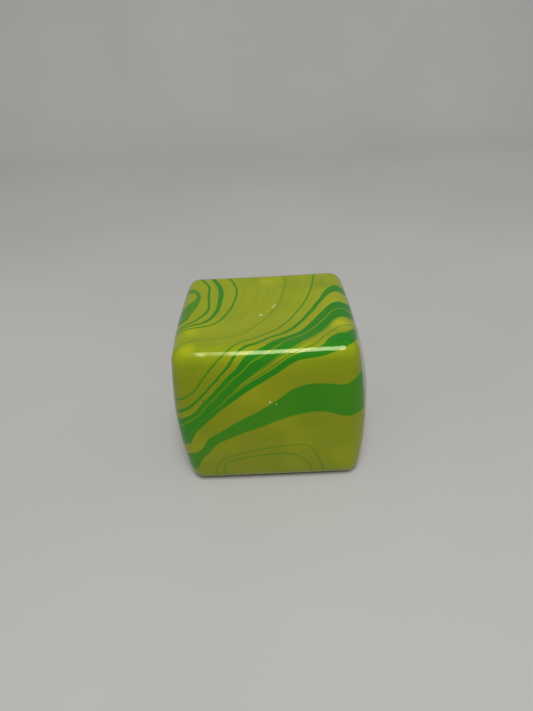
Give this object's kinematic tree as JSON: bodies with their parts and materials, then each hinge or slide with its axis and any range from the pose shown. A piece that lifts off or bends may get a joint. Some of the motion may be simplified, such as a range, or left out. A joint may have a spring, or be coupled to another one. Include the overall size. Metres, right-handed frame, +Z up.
{
  "type": "squeeze cube",
  "caption": "Soft dough-filled squeeze cube with a glossy marbled skin, bowed sides, a sunken top, a flat base and a stoppered fill port underneath.",
  "frame": {"origin": "middle of the underside, on the plane that the cube rests on", "axes": "+Z up, +X to the right, and the front faces -Y"},
  "size_m": [0.0654, 0.0586, 0.054],
  "materials": {
    "skin": "glossy soft elastomer, marbled yellow and green",
    "filling": "soft dough, matt",
    "stopper": "soft elastomer, satin",
    "seal": "cured clear glue, glossy"
  },
  "bodies": {
    "base": {"skin_lower": "skin", "filling_lower": "filling", "fill_stopper": "stopper", "port_seal": "seal"},
    "crown": {"skin_upper": "skin", "filling_upper": "filling"}
  },
  "joints": [
    {"name": "squeeze", "type": "slide", "parent": "base", "child": "crown", "axis": [0, 0, 1], "range_m": [-0.016, 0], "stiffness_N_per_m": 2000, "deforming": ["skin_lower", "filling_lower"]}
  ]
}
